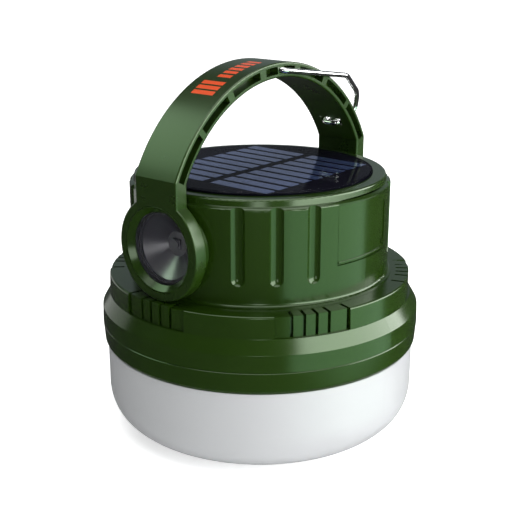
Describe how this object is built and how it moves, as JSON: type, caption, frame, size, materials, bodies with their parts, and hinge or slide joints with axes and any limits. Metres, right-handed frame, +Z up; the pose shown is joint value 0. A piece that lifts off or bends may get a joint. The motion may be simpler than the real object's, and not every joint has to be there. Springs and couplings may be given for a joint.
{
  "type": "solar camping lantern",
  "caption": "Compact round solar lantern: frosted dome below, solar panel on top, folding handle with a wire hook and a torch in one pivot.",
  "frame": {"origin": "centre of the flat bottom of the diffuser dome, on the table", "axes": "+Z up along the lantern's axis; -Y is the way the torch faces, and the handle's pivot axis runs along Y; +X is the side with the charging ports, -X the side with the power button"},
  "size_m": [0.12, 0.12, 0.1379],
  "materials": {
    "green_plastic": "satin moulded plastic",
    "frosted_plastic": "opal diffuser",
    "clear_plastic": "clear moulded lens",
    "panel_glaze": "clear resin over the cells",
    "silicon": "dark blue silicon cells",
    "black_board": "black board",
    "green_board": "printed circuit board",
    "white_board": "white aluminium-core board",
    "led_yellow": "phosphor",
    "inner_plastic": "black moulded plastic",
    "cell_wrap": "battery sleeve",
    "nickel": "nickel-plated strip",
    "steel": "zinc-plated steel",
    "chrome_wire": "polished wire",
    "rubber": "soft seal",
    "dark_reflector": "metallised plastic"
  },
  "bodies": {
    "housing": {"diffuser_dome": "frosted_plastic", "dome_seal": "rubber", "trim_ring": "green_plastic", "lower_housing": "green_plastic", "upper_housing": "green_plastic", "panel_board": "black_board", "solar_cells": "silicon", "panel_glass": "panel_glaze", "chassis_plate": "inner_plastic", "led_board": "white_board", "led_chips": "led_yellow", "housing_screws": "steel", "battery_holder": "inner_plastic", "battery_cells": "cell_wrap", "battery_contacts": "nickel", "contact_springs": "nickel", "main_board": "green_board", "board_screws": "steel", "board_chips": "inner_plastic", "usb_a_socket": "steel", "usb_c_socket": "steel", "switch_body": "inner_plastic", "flap_pin": "steel", "torch_barrel": "inner_plastic", "pivot_barrel": "inner_plastic", "barrel_screws": "steel", "friction_washers": "rubber", "torch_board": "white_board", "torch_led": "led_yellow", "torch_reflector": "dark_reflector", "torch_seal": "rubber", "torch_lens": "clear_plastic", "torch_bezel": "green_plastic", "pivot_cap": "green_plastic"},
    "handle": {"handle": "green_plastic"},
    "hook": {"hook": "chrome_wire"},
    "power_button": {"power_button": "green_plastic", "switch_plunger": "inner_plastic"},
    "port_flap": {"port_flap": "green_plastic"}
  },
  "joints": [
    {"name": "handle_pivot", "type": "hinge", "parent": "housing", "child": "handle", "pos_m": [0, 0, 0.0795], "axis": [0, -1, 0], "range_deg": [-95, 95]},
    {"name": "hook_pivot", "type": "hinge", "parent": "handle", "child": "hook", "pos_m": [0, 0, 0.13525], "axis": [1, 0, 0], "range_deg": [0, 195]},
    {"name": "button_press", "type": "slide", "parent": "housing", "child": "power_button", "axis": [1, 0, 0], "range_m": [0, 0.001], "stiffness_N_per_m": 2000, "springref_m": -0.0003},
    {"name": "flap_hinge", "type": "hinge", "parent": "housing", "child": "port_flap", "pos_m": [0.0444, 0, 0.091], "axis": [0, -1, 0], "range_deg": [0, 80]}
  ]
}
